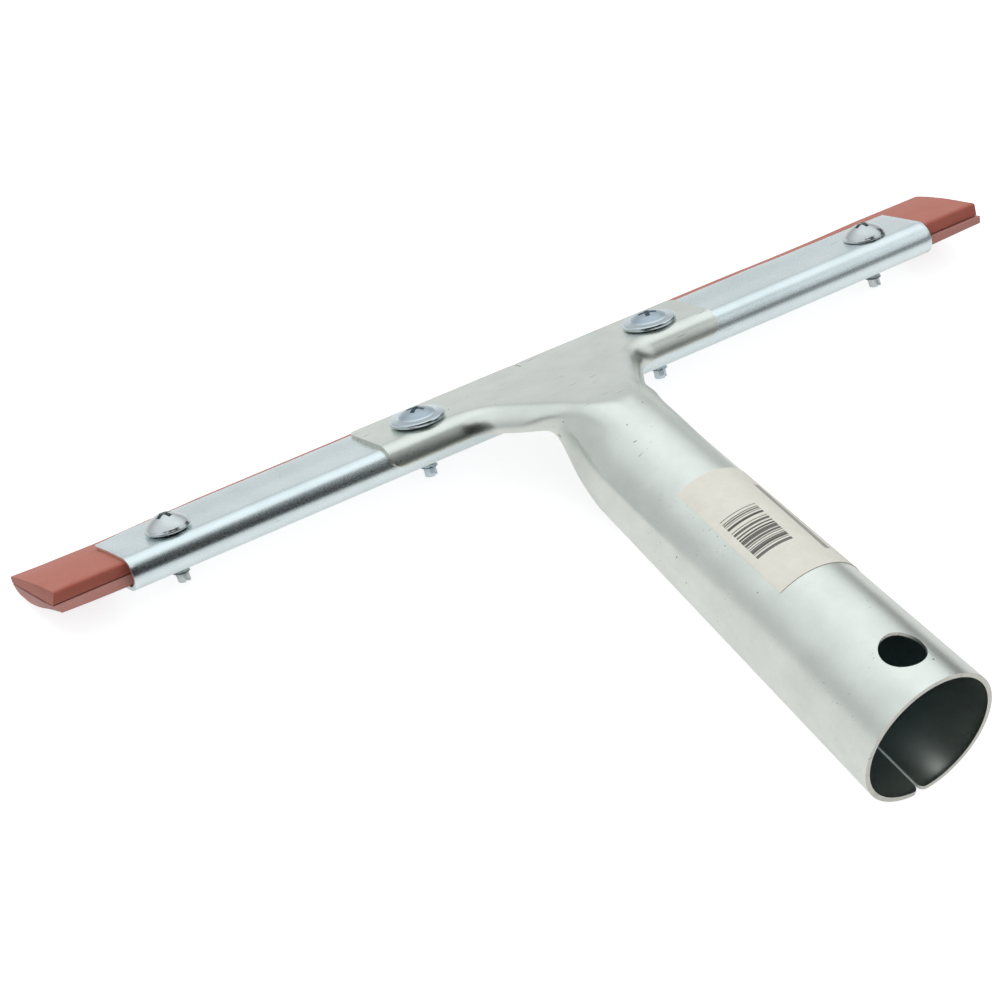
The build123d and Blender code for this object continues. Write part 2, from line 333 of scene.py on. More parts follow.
def rounded(corners, steps):
    """A closed outline through (y, z, radius) corners, each turned in so many steps."""
    path = []
    count = len(corners)
    for i, (y, z, radius) in enumerate(corners):
        here = Vector((y, z))
        back = Vector(corners[i - 1][:2]) - here
        ahead = Vector(corners[(i + 1) % count][:2]) - here
        back.normalize()
        ahead.normalize()
        half = back.angle(ahead) / 2
        reach = radius / tan(half)
        centre = here + (back + ahead).normalized() * (radius / sin(half))
        start = here + back * reach - centre
        sweep = (pi - 2 * half) * (1 if back.cross(ahead) < 0 else -1)
        for k in range(steps + 1):
            turn = Matrix.Rotation(sweep * k / steps, 2)
            path.append(centre + turn @ start)
    return path


end_round = 0.12
end_shrink = 0.02


def closed_skin(rings):
    """A closed bmesh through rings of points, each end filled over a ring that is shrunk a hair."""
    push = (Vector(rings[-1][0]) - Vector(rings[-2][0])).normalized() * end_round

    def end_ring(ring, out):
        centre = sum(ring, Vector()) / len(ring)
        return [point.lerp(centre, end_shrink) + out for point in ring]

    made = bmesh.new()
    rows = [[made.verts.new(point) for point in ring]
            for ring in [end_ring(rings[0], -push)] + rings + [end_ring(rings[-1], push)]]
    count = len(rings[0])
    for low, high in zip(rows, rows[1:]):
        for i in range(count):
            j = (i + 1) % count
            made.faces.new((low[i], low[j], high[j], high[i]))
    made.faces.new(list(reversed(rows[0])))
    made.faces.new(rows[-1])
    bmesh.ops.recalc_face_normals(made, faces=made.faces)
    return made


# How closely a strip is divided: along its free ends, inside the channel and across its flats
free_step = 0.8
held_step = 4.0
flat_step = 1.2
free_overlap = 6
corner_steps = 5


def rubber_strip(name, material, node, corners, middle, bend, rub_and_shade, short):
    """A moulded strip: an outline in (y, z) carried along X, bent a little where it is free."""
    outline = []
    corner_path = rounded(corners, corner_steps)
    for here, ahead in zip(corner_path, corner_path[1:] + corner_path[:1]):
        # long flats get points between their corners, so that they can bend
        count = max(1, round((ahead - here).length / flat_step))
        outline += [here.lerp(ahead, k / count) for k in range(count)]
    places = []
    x = -strip_half
    for end, step in ((free_overlap - channel_half, free_step), (channel_half - free_overlap, held_step),
                      (strip_half, free_step)):
        while x < end:
            places.append(x)
            x += step
    places.append(strip_half)
    rings = []
    for x in places:
        ring = []
        for y, z in outline:
            slide, lift = bend(x, y, z)
            cut = short(x, y, z) * max(0, (abs(x) - channel_half) / (strip_half - channel_half))
            ring.append(Vector((x + middle - cut * (1 if x > 0 else -1), y + slide, z + lift)))
        rings.append(ring)
    made = closed_skin(rings)
    # its rear edges are marked for the darker tone: partly rubbed, partly painted shade
    rubbed_and_shaded = made.verts.layers.float.new("rubbed_and_shaded")
    for vert in made.verts:
        vert[rubbed_and_shaded] = rub_and_shade(*vert.co)
    mesh = smooth_mesh(made, name)
    mesh.set_sharp_from_angle(angle=radians(50))
    on_table(name, mesh, material, "head", node)


# Where the channel's far edge and the strips' lips really are: (place along X, how far off)
far_edge_at = [(-101.6, -0.26), (-93, 0.12), (-83, 0.25), (-42, 0.25), (-30, 0.10), (30, 0.10),
               (42, 0.28), (62, 0.28), (75, 0.10), (85, 0.05), (101.6, -0.05)]
lip_at = [(-117.8, -0.25), (-109, -0.50), (-97, -0.64), (-84, -0.35), (-74, -0.15), (-42, -0.12),
          (-30, 0), (30, 0.10), (37, 0.25), (62, 0.25), (73, 0.09), (84, 0.08), (101, 0.38), (117, 0.30)]
# The lower strip's left end, from its lip inwards: how far its underside is off
worn_at = [(0, 2.0), (0.7, 1.0), (3.3, 0.14), (7.4, -0.36), (11.9, -0.26), (16.5, 0.04), (20.5, 0.36)]


def opened(x, y):
    """How far the channel's top is bent up or down towards its far edge."""
    return settled(x, far_edge_at) * ease(y, 5, channel_far)


def upper_bend(x, y, z):
    """The upper strip's top follows the channel, and its lip waves; its underside stays flat, and
    its rear face leans in at the left end."""
    if y < channel_far:
        height = opened(x, y)
    else:
        share = (y - channel_far) / (lip_reach - channel_far)
        height = settled(x, far_edge_at) * (1 - share) + settled(x, lip_at) * share
    lift = height * min(1, max(0, (z - upper_low) / 1.5))
    lean = 0.95 * ease(-x, 60, 112) * (upper_top - z) / 2.8 * (1 - ease(y, strip_rear, 6))
    # where the lip is lifted it is a little shorter
    return lean - 0.55 * max(0, lift) * ease(y, channel_far, lip_reach), lift


def lower_bend(x, y, z):
    """The lower strip's left end is cupped downwards between its edges and worn at its lip, its
    right end is lifted at its rear, and its rear edge lies a little askew."""
    out = max(0, (-x - channel_half + 1) / (strip_half - channel_half + 1))
    share = (y - strip_rear) / (lip_reach - strip_rear)
    cupped = -0.32 * 4 * share * (1 - share) * out ** 2
    under = settled(lip_reach - y, worn_at)
    under *= out ** 2 if under < 1 else out ** 9
    lifted = max(0, (x - channel_half) / (strip_half - channel_half))
    under += 0.35 * (1 - ease(y, strip_rear, 5)) * lifted
    low = (lower_top - z) / (lower_top - lower_low)
    skew = (-0.9 * x / strip_half + 0.16) * (1 - low) + (-0.47 * x / strip_half + 0.06) * low
    return skew * (1 - ease(y, strip_rear, 12)), cupped * (1 - low) + under * low


def upper_end(x, y, z):
    """How far a point at the upper strip's end lies short of it: its left end leans."""
    if x > 0:
        return -0.5
    return 0.55 * (1 - ease(y, 0, 14)) * (z - upper_low) / 2.8


def lower_end(x, y, z):
    """How far a point at the lower strip's end lies short of it: its left end leans."""
    if x > 0:
        return 0.35 * (1 - ease(y, 0, 10))
    return -1.18 + 1.25 * (lower_top - z) / 2.1 * (1 - ease(y, 0, 12))


def upper_rub_and_shade(x, y, z):
    """How far the upper strip is rubbed bare and painted in shade: only at its rear."""
    return 0.45 * max(0, min(1, (0.9 - y) / 1.2))


def lower_rub_and_shade(x, y, z):
    """How far the lower strip is rubbed bare and painted in shade: only at its rear."""
    return 0.35 * max(0, min(1, (0.4 - y) / 0.8))


# The upper strip's top is two flats that meet at the channel's edge over a wide round
rubber_strip("upper_strip_rubber", upper_rubber, "upper_rubber_strip",
             [(strip_rear, upper_low, 0.20), (lip_reach, upper_low, 0.12), (lip_reach, upper_lip_top, 0.3),
              (channel_far, upper_top, 60), (strip_rear, upper_top, 0.55)], -strip_shift,
             upper_bend, upper_rub_and_shade, upper_end)
rubber_strip("lower_strip_rubber", lower_rubber, "lower_rubber_strip",
             [(strip_rear, lower_low, 0.15), (lip_reach, lower_low, 0.10), (lip_reach, lower_top, 0.15),
              (strip_rear, lower_top, 0.15)], strip_shift,
             lower_bend, lower_rub_and_shade, lower_end)


# The label

label_start = 36.5
label_length = 33.6
label_low_angle = -33.5
label_high_angle = 96.0
label_thick = 0.12
label_gap = 0.02


def on_socket(along, angle, out):
    """A point on the socket, so far from its mouth, at an angle from its top, out from its skin."""
    radius = mouth_radius - taper * along + out
    turned = radians(angle)
    return Vector(mouth + socket_in * along + (socket_up * cos(turned) + across * sin(turned)) * radius)


def slab(outer, inner):
    """A closed bmesh between two grids of points, the outer one and the inner one."""
    made = bmesh.new()
    top = [[made.verts.new(p) for p in row] for row in outer]
    low = [[made.verts.new(p) for p in row] for row in inner]
    rows, columns = len(top), len(top[0])
    for i in range(rows - 1):
        for j in range(columns - 1):
            made.faces.new((top[i][j], top[i + 1][j], top[i + 1][j + 1], top[i][j + 1]))
            made.faces.new((low[i][j], low[i][j + 1], low[i + 1][j + 1], low[i + 1][j]))
    for i in range(rows - 1):
        for j, flip in ((0, False), (columns - 1, True)):
            quad = [top[i][j], low[i][j], low[i + 1][j], top[i + 1][j]]
            made.faces.new(quad[::-1] if flip else quad)
    for j in range(columns - 1):
        for i, flip in ((0, True), (rows - 1, False)):
            quad = [top[i][j], low[i][j], low[i][j + 1], top[i][j + 1]]
            made.faces.new(quad[::-1] if flip else quad)
    bmesh.ops.recalc_face_normals(made, faces=made.faces)
    return made


def paper_label():
    """The label, wrapped round the socket's top and right, with its own flat map in millimetres."""
    columns, rows = 24, 60
    span = label_high_angle - label_low_angle
    grids = []
    for out in (label_gap + label_thick, label_gap):
        grids.append([[on_socket(label_start + label_length * i / columns, label_low_angle + span * j / rows, out)
                       for j in range(rows + 1)] for i in range(columns + 1)])
    made = slab(*grids)
    wrap = made.loops.layers.uv.new("wrap")
    for face in made.faces:
        for loop in face.loops:
            away = np.array(loop.vert.co) - mouth
            along = away @ socket_in
            angle = degrees(atan2(away[0], away @ socket_up))
            around = radians(angle - label_low_angle) * (mouth_radius - taper * along)
            loop[wrap].uv = (along - label_start, around)
    mesh = smooth_mesh(made, "socket_label")
    mesh.set_sharp_from_angle(angle=radians(40))
    on_table("socket_label", mesh, cream_paper, "head", "paper_label")


paper_label()


# The pressed tee and its socket: lengths in millimetres and angles in degrees, as in the CAD

arm_half = 41.7
plate_far = 13.45
plate_corner = 1.6
roll = 4.45
flange_low = -4.1
flange_corner = 2.6
tee_floor = -10
tongue_half = 17.9
tongue_splay = 0.6
neck_round = 12.0
neck_fill = 9.0
neck_end = 86.0
socket_front = 108.0
neck_centre = tongue_half + neck_round * (sqrt(1 + tongue_splay ** 2) - tongue_splay)
tip_roll = 11.0
tip_roll_half = 3.5
front_edge_reach = 18.3
front_edge_angle = 67.0
front_edge_round = 4.0
seam_gap = 0.4
seam_corner = 1.6
hole_inset = 10.2
hole_radius = 4.6


def shared(one, two, radius):
    """What two shapes share, with the edge between them rolled. A shape is the distance outside
    it at each point, and its outward way there."""
    (far_one, way_one), (far_two, way_two) = one, two
    dot = np.clip((way_one * way_two).sum(-1), -1, 1)
    past_one, past_two = far_one + radius, far_two + radius
    weight_one, weight_two = past_one - past_two * dot, past_two - past_one * dot
    # surfaces within 2 degrees of each other have no edge to roll
    in_roll = (weight_one > 0) & (weight_two > 0) & (dot < 0.9995)
    flat = np.maximum(1 - dot ** 2, 1e-3)
    reach = np.sqrt(np.maximum(past_one * weight_one + past_two * weight_two, 1e-12) / flat)
    turned = way_one * weight_one[..., None] + way_two * weight_two[..., None]
    turned = turned / (flat * reach)[..., None]
    nearer = np.where((far_one > far_two)[..., None], way_one, way_two)
    return (np.where(in_roll, reach - radius, np.maximum(far_one, far_two)),
            np.where(in_roll[..., None], turned, nearer))


def joined(one, two, radius):
    """Two shapes joined, with the hollow between them filled to a radius."""
    distance, way = shared((-one[0], -one[1]), (-two[0], -two[1]), radius)
    return -distance, -way


def flat_side(points, way, reach):
    """The shape behind a flat side, so far from the origin along its outward way."""
    way = np.array(way)
    return points @ way - reach, np.broadcast_to(way, points.shape)


def pressing(points):
    """The pressing's outer skin: a flat tee rolled down at its rear, whose tongue runs into the
    tapered socket."""
    points = points.copy()
    points[..., 0] = np.abs(points[..., 0])
    thin = 1 / sqrt(1 + tongue_splay ** 2)
    arms = flat_side(points, (0, -1, 0), roll)
    sides = flat_side(points, (thin, -tongue_splay * thin, 0), tongue_half * thin + roll)
    top = flat_side(points, (0, 0, 1), bracket_sheet)
    fall = radians(socket_lean - socket_narrowing)
    crest = np.array((0, -sin(fall), cos(fall)))
    slope = flat_side(points, crest, crest @ (mouth + socket_up * mouth_radius))
    tee = shared(joined(arms, sides, neck_round - roll), top, roll)
    # the fold across the tongue's tip is wider than the roll down its sides
    fold = roll + (tip_roll - roll) * np.exp(-(points[..., 0] / tip_roll_half) ** 2)
    tee = shared(tee, slope, fold)
    tee = (np.maximum(tee[0], tee_floor - points[..., 2]), tee[1])
    away = points - mouth
    along = away @ socket_in
    spoke = away - along[..., None] * socket_in
    length = np.linalg.norm(spoke, axis=-1)
    lean = cos(radians(socket_narrowing))
    socket = (np.maximum((length - mouth_radius + taper * along) * lean, along - socket_front),
              (spoke / np.maximum(length, 1e-6)[..., None] + taper * socket_in) * lean)
    return joined(tee, shared(socket, top, fold), neck_fill)


def meet(centre, way):
    """Where rays from inside the pressing come out through its skin, found by halving."""
    low, high = np.zeros(way.shape[:-1]), np.full(way.shape[:-1], 60.0)
    for _ in range(27):
        half = (low + high) / 2
        inside = pressing(centre + way * half[..., None])[0] < 0
        low, high = np.where(inside, half, low), np.where(inside, high, half)
    return centre + way * low[..., None]


def kept(points):
    """Above 0 on the sheet that is left, inside its cut edges."""
    x, y, z = points[..., 0], points[..., 1], points[..., 2]
    end = np.maximum(0, arm_half - x)

    def corner(radius):
        return radius - np.sqrt(np.maximum(0, radius ** 2 - np.maximum(0, radius - end) ** 2))

    far = plate_far - corner(plate_corner) - y
    lean = radians(front_edge_angle)
    behind = -(y + front_edge_reach) * sin(lean) + (z - flange_low) * cos(lean)
    above = z - flange_low - corner(flange_corner)
    front = shared((above, np.broadcast_to((0, 0, 1.0), points.shape)),
                   (behind, np.broadcast_to((0, -sin(lean), cos(lean)), points.shape)),
                   front_edge_round)[0]
    away = points - mouth
    along = np.clip(away @ socket_in, 0, seam_corner)
    lip = seam_gap / 2 + seam_corner - np.sqrt(seam_corner ** 2 - (seam_corner - along) ** 2)
    seam = np.where(away @ socket_up < -5, x - lip, 1)
    return np.minimum(np.minimum(far, front), np.minimum(seam, x + 1e-7))


def stations():
    """Where the pressing is cut into sections: a point inside, the way out and the way up."""
    up, back = np.array((0, 0, 1.0)), np.array((0, -1.0, 0))
    inside = np.array((0, 0, bracket_sheet - roll))
    turn = np.array((neck_centre, -neck_round, 0))
    places = []
    # along the arm, closest at its cut end
    from_end = [0, .08, .2, .36, .56, .8, 1.1, 1.45, 1.85, 2.3, 3.0]
    for x in [arm_half - gap for gap in from_end] + list(np.linspace(arm_half - 4, neck_centre, 13)):
        places.append((inside + (x, 0, 0), back, up))
    # round the neck's corner: one section runs through the middle of the far edge, where the two
    # halves part
    side = pi / 2 - atan(tongue_splay)
    middle = atan(neck_centre / (plate_far + neck_round))
    for angle in list(np.linspace(0, middle, 18)[1:]) + list(np.linspace(middle, side, 8)[1:]):
        out = np.array((sin(angle), -cos(angle), 0))
        places.append((turn - neck_round * out + inside, out, up))
    # down the tongue's side
    start, out = places[-1][0], places[-1][1]
    tip = 9.5
    close = np.array((tip, (tip - tongue_half) / tongue_splay, inside[2]))
    for share in np.linspace(0, 1, 9)[1:]:
        places.append((start + (close - start) * share, out, up))
    # through the neck, turning until the section is the socket's
    axis = mouth + socket_in * neck_end
    for share in np.linspace(0, 1, 26)[1:]:
        turned = share * share * (3 - 2 * share)
        way = out * (1 - turned) + np.array((1, 0, 0)) * turned
        rise = up * (1 - turned) + socket_up * turned
        way /= np.linalg.norm(way)
        rise -= way * (way @ rise)
        rise /= np.linalg.norm(rise)
        places.append((close + (axis - close) * share, way, rise))
    # down the socket, closest at its mouth
    near_mouth = [3.2, 2.6, 2.1, 1.7, 1.35, 1.05, .78, .54, .34, .18, .07, 0]
    for along in list(np.linspace(neck_end, 4, 44))[1:] + near_mouth:
        places.append((mouth + socket_in * along, np.array((1.0, 0, 0)), socket_up))
    return [np.array(part) for part in zip(*places)]


def skin(columns):
    """The outer skin of the pressing's right half: one row of points for each section, from the
    far edge or the middle line round to the flange's edge or the seam."""
    centre, out, up = stations()

    def at(angle):
        way = up[:, None] * np.cos(angle)[..., None] + out[:, None] * np.sin(angle)[..., None]
        return meet(centre[:, None], way)

    # each section's two ends: the last angle still on the sheet, each way from 20 degrees
    count = len(centre)
    span = np.radians(np.concatenate([np.linspace(-84, -60, 60), np.linspace(-59, 181, 241)]))
    good = kept(at(np.tile(span, (count, 1)))) >= 0
    middle = np.searchsorted(span, np.radians(20))
    ends = []
    for step in (-1, 1):
        inner, outer = np.zeros(count), np.zeros(count)
        for i in range(count):
            k = middle
            while 0 < k < len(span) - 1 and good[i, k]:
                k += step
            inner[i], outer[i] = span[k - step], span[k]
        for _ in range(30):
            half = (inner + outer) / 2
            on_sheet = kept(at(half[:, None]))[:, 0] >= 0
            inner, outer = np.where(on_sheet, half, inner), np.where(on_sheet, outer, half)
        ends.append(inner)
    # points are shared out by length and by bend, so that they are closer where it bends
    low, high = ends
    angles = low[:, None] + (high - low)[:, None] * np.linspace(0, 1, 500)
    steps = np.diff(at(angles), axis=1)
    length = np.linalg.norm(steps, axis=-1)
    unit = steps / np.maximum(length, 1e-9)[..., None]
    bend = np.arccos(np.clip((unit[:, 1:] * unit[:, :-1]).sum(-1), -1, 1))
    bend = np.minimum(np.concatenate([bend[:, :1], bend], axis=1), 0.04)
    share = length / length.sum(1, keepdims=True) + 1.4 * bend / bend.sum(1, keepdims=True)
    share /= share.sum(1, keepdims=True)
    run = np.concatenate([np.zeros((count, 1)), np.cumsum(share, axis=1)], axis=1)
    wanted = np.linspace(0, 1, columns)
    return at(np.stack([np.interp(wanted, run[i], angles[i]) for i in range(count)]))


neck_middle = np.array((9.0, -14.0, -2.0))
neck_reach = 20
neck_fade = 9


def relaxed(points, rounds):
    """The neck's skin drawn smooth, as sheet flows in a press, and how far each point is free to
    move; the sheet's far edges stay."""
    for _ in range(rounds):
        wide = np.concatenate([points[:, 1:2] * mirrored, points, points[:, -1:]], axis=1)
        middle = (wide[:, :-2] + wide[:, 2:]) / 2
        middle[1:-1] = (middle[1:-1] + (points[:-2] + points[2:]) / 2) / 2
        away = np.linalg.norm(points - neck_middle, axis=-1)
        weight = np.clip((neck_reach - away) / neck_fade, 0, 1)
        weight[:, -1] = 0
        weight[:, 0] *= points[:, 0, 0] < 1e-4
        points = points + (middle - points) * 0.5 * weight[..., None]
    return points, weight


def outward(points, weight):
    """The outward way at each point: its neighbours give it where the skin was drawn smooth."""
    on_middle = (points[:, :1, :1] < 1e-4)
    before = np.where(on_middle, points[:, 1:2] * mirrored, points[:, :1])
    wide = np.concatenate([before, points, points[:, -1:]], axis=1)
    tall = np.concatenate([points[:1], points, points[-1:]], axis=0)
    ways = np.cross(tall[2:] - tall[:-2], wide[:, 2:] - wide[:, :-2])
    ways /= np.linalg.norm(ways, axis=-1, keepdims=True)
    pressed = pressing(points)[1]
    ways *= np.sign((ways * pressed).sum(-1).mean()) * weight[..., None]
    ways += pressed * (1 - weight)[..., None]
    return ways / np.linalg.norm(ways, axis=-1, keepdims=True)


# The tight bend along each side of the socket's front: its height, and its place and half width
# in degrees from the socket's top. On the right it starts beyond the label.
bend_height = 0.25
bend_angle = 70
bend_half = 8
bend_start_left = 58
bend_start_right = 70
bend_end = 103


def drawn_by_hand(points, ways):
    """What the press and the bender left uneven: a tight bend along each side of the socket's
    front, the neck pushed a millimetre to the right, and the seam's right lip standing a little
    higher than its left one."""
    away = points - mouth
    along = away @ socket_in
    angle = np.degrees(np.arctan2(away[..., 0], away @ socket_up))
    starts = np.where(angle > 0, bend_start_right, bend_start_left)
    fade = np.clip((along - starts) / 16, 0, 1) * np.clip((bend_end - along) / 6, 0, 1)
    fade = fade * fade * (3 - 2 * fade)
    bend = bend_height * fade * np.exp(-((np.abs(angle) - bend_angle) / bend_half) ** 2)
    lip = -0.25 * np.exp((angle - 180) / 8) * (angle > 0) * np.clip((80 - along) / 40, 0, 1)
    # the push, in millimetres, fades out up and down the neck, round its top and towards the plate
    left = 1.3 * ease(along, 89, 101) * (1 - ease(along, 105.5, 112))
    right = 0.45 * ease(along, 82, 96) * (1 - ease(along, 104, 108))
    right = right + 0.65 * np.exp(-((along - 102.3) / 3) ** 2)
    push = np.where(angle < 0, left, right) * ease(np.abs(angle), 18, 45)
    push = push * (1 - ease(points[:, 2], -3.4, 0.5))
    # the mouth's rim is filed a hair under size
    filed = -0.004 * np.exp(-along / 3)
    return points + ways * (bend + lip + filed)[..., None] + across * push[..., None]


mouth_burr = 0.22
skin_columns = 84
relaxing_rounds = 14


def socket_bracket():
    """One sheet, pressed: its right half and its mirror image, then the sheet's thickness."""
    right, weight = relaxed(skin(skin_columns), relaxing_rounds)
    ways = outward(right, weight)
    rows, columns = right.shape[:2]
    half = np.arange(rows * columns).reshape(rows, columns)
    other = half + rows * columns
    other[:, 0] = np.where(right[:, 0, 0] < 1e-4, half[:, 0], other[:, 0])
    outer = np.concatenate([right.reshape(-1, 3), (right * mirrored).reshape(-1, 3)])
    normal = np.concatenate([ways.reshape(-1, 3), (ways * mirrored).reshape(-1, 3)])
    outer = drawn_by_hand(outer, normal)
    burr = mouth_burr * np.exp(-np.abs((outer - mouth) @ socket_in) / 0.5)
    inner = outer - normal * (bracket_sheet + burr)[:, None]
    for side in (outer, inner):
        # nothing reaches past the mouth's plane
        side -= np.minimum((side - mouth) @ socket_in - 0.01, 0)[:, None] * socket_in
    # the inner skin deep in the socket is marked for a painted shade
    in_socket = np.abs(inner[:, 1] - mouth[1]) < 85
    socket_shade = ease((inner - mouth) @ socket_in, 1, 16) * in_socket
    made = bmesh.new()
    bare_and_shade = made.faces.layers.float.new("bare_and_shade")
    shaded = made.verts.layers.float.new("shaded")
    used = sorted(set(half.ravel()) | set(other.ravel()))
    top = {i: made.verts.new(outer[i]) for i in used}
    low = {i: made.verts.new(inner[i]) for i in used}
    for i in used:
        low[i][shaded] = socket_shade[i]
    # an edge of the sheet is one that only one quad runs along
    rims = {}
    for grid in (half, other):
        for i in range(rows - 1):
            for j in range(columns - 1):
                quad = [grid[i, j], grid[i + 1, j], grid[i + 1, j + 1], grid[i, j + 1]]
                quad = [int(k) for k in (quad if grid is half else quad[::-1])]
                made.faces.new([top[k] for k in quad])
                made.faces.new([low[k] for k in reversed(quad)])
                for start, end in zip(quad, quad[1:] + quad[:1]):
                    if rims.pop((end, start), None) is None:
                        rims[start, end] = True
    for start, end in rims:
        edge = made.faces.new((top[end], top[start], low[start], low[end]))
        # the seam's long edges are too deep to show the steel; their corners are painted in shade instead
        edge[bare_and_shade] = outer[start, 1] > -50 or (outer[start] - mouth) @ socket_in < 0.5
        if not edge[bare_and_shade]:
            top[start][shaded] = top[end][shaded] = 1
    bmesh.ops.recalc_face_normals(made, faces=made.faces)
    return smooth_mesh(made, "pressed_tee_and_socket")


def drilled(mesh, foot, way, radius, reach):
    """The same mesh with a round hole through it, from foot along a way, with a bare wall."""
    made = bmesh.new()
    bmesh.ops.create_cone(made, cap_ends=True, segments=72, radius1=radius, radius2=radius,
                          depth=2 * reach)
    bare_and_shade = made.faces.layers.float.new("bare_and_shade")
    for face in made.faces:
        face[bare_and_shade] = 1
    cutter = bpy.data.meshes.new("drill")
    made.to_mesh(cutter)
    made.free()
    turn = Vector(way).to_track_quat("Z", "Y").to_matrix().to_4x4()
    cutter.transform(Matrix.Translation(Vector(foot) + Vector(way) * reach) @ turn)
    drill = bpy.data.objects.new("drill", cutter)
    work = bpy.data.objects.new("work", mesh)
    for thing in (drill, work):
        scene.collection.objects.link(thing)
    hole = work.modifiers.new("hole", "BOOLEAN")
    hole.operation, hole.solver, hole.object = "DIFFERENCE", "EXACT", drill
    done = from_modifiers(work)
    bpy.data.objects.remove(drill)
    return done


def sheared(mesh, width):
    """The same mesh with its cut edges rounded by a hair, as shearing and plating leave them."""
    work = bpy.data.objects.new("work", mesh)
    scene.collection.objects.link(work)
    bevel = work.modifiers.new("bevel", "BEVEL")
    bevel.width, bevel.segments = width, 2
    bevel.limit_method, bevel.angle_limit = "ANGLE", radians(50)
    done = from_modifiers(work)
    done.set_sharp_from_angle(angle=radians(40))
    return done


bracket_edge = 0.21
drill_reach = 20

bracket = drilled(socket_bracket(), mouth + socket_in * hole_inset, socket_up, hole_radius, drill_reach)
on_table("pressed_tee_and_socket", sheared(bracket, bracket_edge), bracket_zinc, "head",
         "handle_socket_bracket")


# The folded channel

channel_edge = 0.12
wall_step = 0.9
nose_steps = 30
channel_rows = 150


def deeper(x):
    """The channel stands a little deeper towards its right end, where it was folded less tightly."""
    return 1 + 0.048 * ease(x, -45, 35) - 0.018 * ease(x, 70, 96)


def folded_channel():
    """One strip of sheet folded round a half-round nose."""
    nose = channel_height / 2
    # the section's outer line, with the outward way at each point: top wall, nose, lower wall
    walls = [channel_far - wall_step * k for k in range(15)]
    walls = [y for y in walls if y > 0.2]
    path = [(y, 0, 0, 1) for y in walls]
    for k in range(nose_steps + 1):
        turn = pi * k / nose_steps
        path.append((-nose * sin(turn), nose * cos(turn) - nose, -sin(turn), cos(turn)))
    path += [(y, -channel_height, 0, -1) for y in reversed(walls)]
    grids = []
    for inset in (0, channel_sheet):
        rows = []
        for k in range(channel_rows + 1):
            x = channel_half * (-1 + 2 * k / channel_rows)
            row = []
            for y, z, out, up in path:
                height = (z - up * inset) * deeper(x)
                # only the top wall is bent
                row.append(Vector((x, y - out * inset, height + (opened(x, y) if z > -1 else 0))))
            rows.append(row)
        grids.append(rows)
    return smooth_mesh(slab(*grids), "folded_channel")


on_table("folded_channel", sheared(folded_channel(), channel_edge), channel_zinc, "head",
         "blade_channel")


# The screws: lengths in millimetres, heights from the screw's seat, screw_foot from the channel's top

shank = 2.05
thread_root = shank - 0.22
thread_rows = 34
stub = 1.34
stub_long = 2.1
screw_foot = -11.8
brim_edge = 0.36
truss = {"rim": 4.8, "wall": 0.70, "steps": (4.8, 2.4), "rise": (0.70, 2.54, 3.35), "slope": -1.25}
brim = {"rim": 5.90, "wall": 0.68, "steps": (3.80, 1.90), "rise": (1.22, 2.30, 2.62), "slope": -1.1}


def has_brim(head):
    """Whether a head's dome ends well inside its rim."""
    return head["steps"][0] < head["rim"] - 1


def crown(head, radius):
    """The height of a head's crown: one smooth curve through its foot, its middle and its top."""
    foot, middle = head["steps"]
    low, half, top = head["rise"]
    bend = (3 * (low - top) / middle - head["slope"]) / 4
    if radius < middle:
        start, end, start_height, end_height, start_slope, end_slope = 0, middle, top, half, 0, bend
    else:
        start, end, start_height, end_height = middle, foot, half, low
        start_slope, end_slope = bend, head["slope"]
    share = (radius - start) / (end - start)
    return ((2 * share ** 3 - 3 * share * share + 1) * start_height
            + (share ** 3 - 2 * share * share + share) * (end - start) * start_slope
            + (3 * share * share - 2 * share ** 3) * end_height
            + (share ** 3 - share * share) * (end - start) * end_slope)


